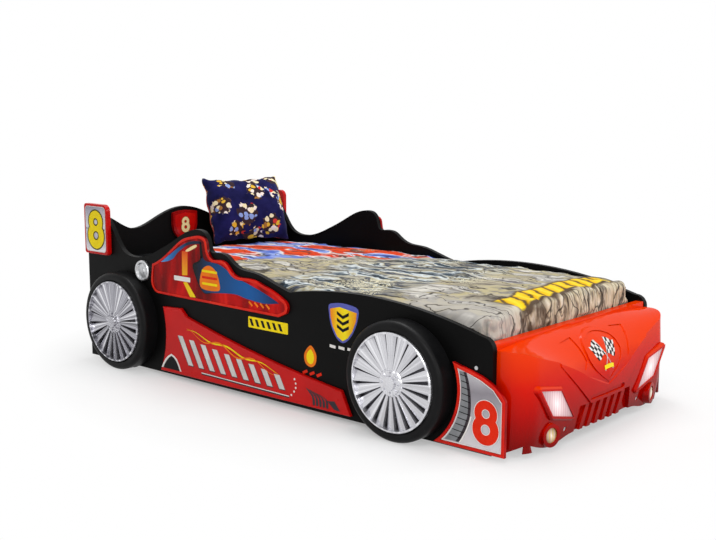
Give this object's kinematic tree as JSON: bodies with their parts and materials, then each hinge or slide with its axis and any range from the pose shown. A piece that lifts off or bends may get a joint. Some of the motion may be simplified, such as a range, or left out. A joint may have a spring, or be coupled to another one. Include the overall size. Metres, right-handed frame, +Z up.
{
  "type": "children's car bed",
  "caption": "Racing-car bed for a child: wavy board sides, moulded nose with lamps, fixed spoked wheels, printed flank boards, shaped headboard, made-up mattress and pillow.",
  "frame": {"origin": "middle of the bounding box's footprint on the floor", "axes": "+Z up, +Y along the bed to the headboard, the nose at -Y; the car's right side is at -X"},
  "size_m": [1.03, 1.9203, 0.6704],
  "materials": {
    "board_black": "black satin lacquer on board",
    "board_red": "printed and lacquered board, red",
    "board_silver": "printed and lacquered board, silver grey with a red edge",
    "pine": "planed pine",
    "nose_red": "gloss red thermoformed plastic",
    "badge_print": "red plate with printed chequered flags",
    "lens_clear": "clear lens",
    "lens_amber": "amber lens",
    "reflector": "metallised plastic",
    "lamp_board": "white circuit board with a lamp dome",
    "tyre_black": "charcoal moulded plastic",
    "rim_silver": "silver painted plastic",
    "mattress_foam": "white ticking over foam",
    "bedspread_cloth": "printed padded cloth",
    "pillow_cloth": "navy printed cloth, red back",
    "box_black": "black moulded plastic",
    "cell_wrap": "wrapped round cell",
    "rocker_red": "red rocker",
    "steel": "zinc plated",
    "glide_black": "plastic glide"
  },
  "bodies": {
    "bed_frame": {"battery_box": "box_black", "battery_cells": "cell_wrap", "battery_cover": "box_black", "bedspread": "bedspread_cloth", "bumper_battens": "pine", "bumper_shell": "nose_red", "cockpit_board_left": "board_red", "cockpit_board_right": "board_red", "corner_brackets": "steel", "fender_board_left": "board_silver", "fender_board_right": "board_silver", "filler_cap_left": "rim_silver", "filler_cap_right": "rim_silver", "floor_glides": "glide_black", "foglamp_lens_left": "lens_amber", "foglamp_lens_right": "lens_amber", "foglamp_reflector_left": "reflector", "foglamp_reflector_right": "reflector", "footboard": "board_black", "headboard": "board_black", "headboard_shield": "board_red", "headlamp_lens_left": "lens_clear", "headlamp_lens_right": "lens_clear", "headlamp_reflector_left": "reflector", "headlamp_reflector_right": "reflector", "hub_caps": "rim_silver", "led_boards": "lamp_board", "mattress": "mattress_foam", "nose_badge": "badge_print", "number_plate_left": "board_silver", "number_plate_right": "board_silver", "panel_screws": "steel", "pillow": "pillow_cloth", "rim_front_left": "rim_silver", "rim_front_right": "rim_silver", "rim_rear_left": "rim_silver", "rim_rear_right": "rim_silver", "side_panel_left": "board_black", "side_panel_right": "board_black", "skirt_board_left": "board_red", "skirt_board_right": "board_red", "slat_01": "pine", "slat_02": "pine", "slat_03": "pine", "slat_04": "pine", "slat_05": "pine", "slat_06": "pine", "slat_07": "pine", "slat_08": "pine", "slat_09": "pine", "slat_10": "pine", "slat_11": "pine", "slat_12": "pine", "slat_rail_left": "pine", "slat_rail_right": "pine", "tyre_front_left": "tyre_black", "tyre_front_right": "tyre_black", "tyre_rear_left": "tyre_black", "tyre_rear_right": "tyre_black"},
    "rocker": {"rocker_switch": "rocker_red"}
  },
  "joints": [
    {"name": "lamp_rocker", "type": "hinge", "parent": "bed_frame", "child": "rocker", "pos_m": [-0.185, 0.9205, 0.335], "axis": [1, 0, 0], "range_deg": [0, 16]}
  ]
}
